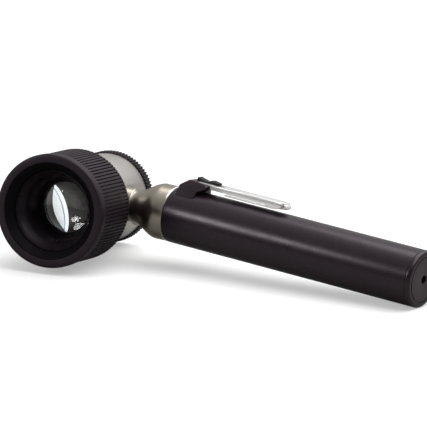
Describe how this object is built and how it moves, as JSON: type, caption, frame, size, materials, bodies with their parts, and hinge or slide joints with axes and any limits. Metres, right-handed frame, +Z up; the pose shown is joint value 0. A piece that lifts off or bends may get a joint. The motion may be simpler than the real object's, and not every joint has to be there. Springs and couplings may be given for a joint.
{
  "type": "dermatoscope",
  "caption": "Hand-held illuminated skin magnifier: ribbed focusing eyepiece, glass contact plate on a metal head, and a battery handle with a pocket clip, slide switch and screw-off end cap.",
  "frame": {"origin": "centre of the footprint on the surface it lies on", "axes": "+Z up from that surface; +X along the handle from the head towards the end cap, which slopes down by 4.6 degrees; +Y from the eyepiece towards the contact plate"},
  "size_m": [0.1608, 0.0626, 0.0429],
  "materials": {
    "handle_black": "satin",
    "ring_black": "matte",
    "cup_black": "matte",
    "cell_black": "matte anodised",
    "switch_black": "satin",
    "satin_metal": "satin",
    "satin_nickel": "satin",
    "polished_chrome": "polished",
    "steel": "satin",
    "brass": "satin",
    "lens_glass": "polished",
    "rubber": "matte",
    "ivory_plastic": "satin",
    "battery_can": "printed sleeve"
  },
  "bodies": {
    "handle": {"handle_tube": "handle_black", "thread_insert": "brass", "clip_block": "handle_black", "clip_pin": "steel", "battery_front": "battery_can", "battery_rear": "battery_can"},
    "head": {"head_drum": "satin_metal", "neck": "satin_nickel", "neck_edge": "polished_chrome", "lamp_socket": "ivory_plastic", "lamp_base": "brass", "lamp_bulb": "lens_glass", "lamp_contact": "steel", "contact_pin": "brass", "contact_bush": "ivory_plastic", "guide_screw": "steel", "focus_seal": "rubber"},
    "eyepiece": {"eyepiece_ring": "ring_black", "eye_cup": "cup_black"},
    "lens_unit": {"lens_cell": "cell_black", "eye_lens": "lens_glass", "lens_spacer": "cell_black", "field_lens": "lens_glass", "lens_retainer": "cell_black"},
    "contact_plate": {"contact_glass": "lens_glass", "contact_gasket": "rubber"},
    "contact_collar": {"contact_ring": "ring_black"},
    "clip": {"pocket_clip": "polished_chrome"},
    "switch": {"switch_slider": "switch_black", "switch_contact": "brass"},
    "cap_core": {"cap_contact": "brass", "cap_spring": "steel"},
    "cap": {"end_cap": "handle_black", "cap_seal": "rubber"}
  },
  "joints": [
    {"name": "head_turn", "type": "hinge", "parent": "handle", "child": "head", "pos_m": [-0.02491, 0.01074, 0.01866], "axis": [0.9967, 0, -0.0809], "range_deg": [0, 35]},
    {"name": "focus_turn", "type": "hinge", "parent": "head", "child": "eyepiece", "pos_m": [-0.06064, 0.01037, 0.01857], "axis": [-0.1916, 0.9755, -0.1085], "range_deg": [-69, 69]},
    {"name": "focus_travel", "type": "slide", "parent": "head", "child": "lens_unit", "axis": [-0.1916, 0.9755, -0.1085], "range_m": [-0.0017, 0.0017]},
    {"name": "contact_travel", "type": "slide", "parent": "head", "child": "contact_plate", "axis": [-0.1916, 0.9755, -0.1085], "range_m": [0, 0.002]},
    {"name": "contact_turn", "type": "hinge", "parent": "contact_plate", "child": "contact_collar", "pos_m": [-0.06403, 0.02763, 0.01665], "axis": [-0.1916, 0.9755, -0.1085], "range_deg": [0, 720]},
    {"name": "clip_flex", "type": "hinge", "parent": "handle", "child": "clip", "pos_m": [-0.0146, 0.0124, 0.03098], "axis": [0.0102, -0.9921, 0.1253], "range_deg": [0, 6], "stiffness_Nm_per_rad": 1.6},
    {"name": "switch_slide", "type": "slide", "parent": "clip", "child": "switch", "axis": [0.9967, 0, -0.0809], "range_m": [0, 0.003]},
    {"name": "cap_travel", "type": "slide", "parent": "handle", "child": "cap_core", "axis": [0.9967, 0, -0.0809], "range_m": [0, 0.006]},
    {"name": "cap_turn", "type": "hinge", "parent": "cap_core", "child": "cap", "pos_m": [0.07964, 0.01074, 0.01017], "axis": [0.9967, 0, -0.0809], "range_deg": [0, 1080]}
  ],
  "couplings": [
    {"joint": "focus_travel", "follows": "focus_turn", "m_per_rad": 0.00141},
    {"joint": "contact_travel", "follows": "contact_turn", "m_per_rad": 0.000159},
    {"joint": "cap_travel", "follows": "cap_turn", "m_per_rad": 0.000318}
  ]
}
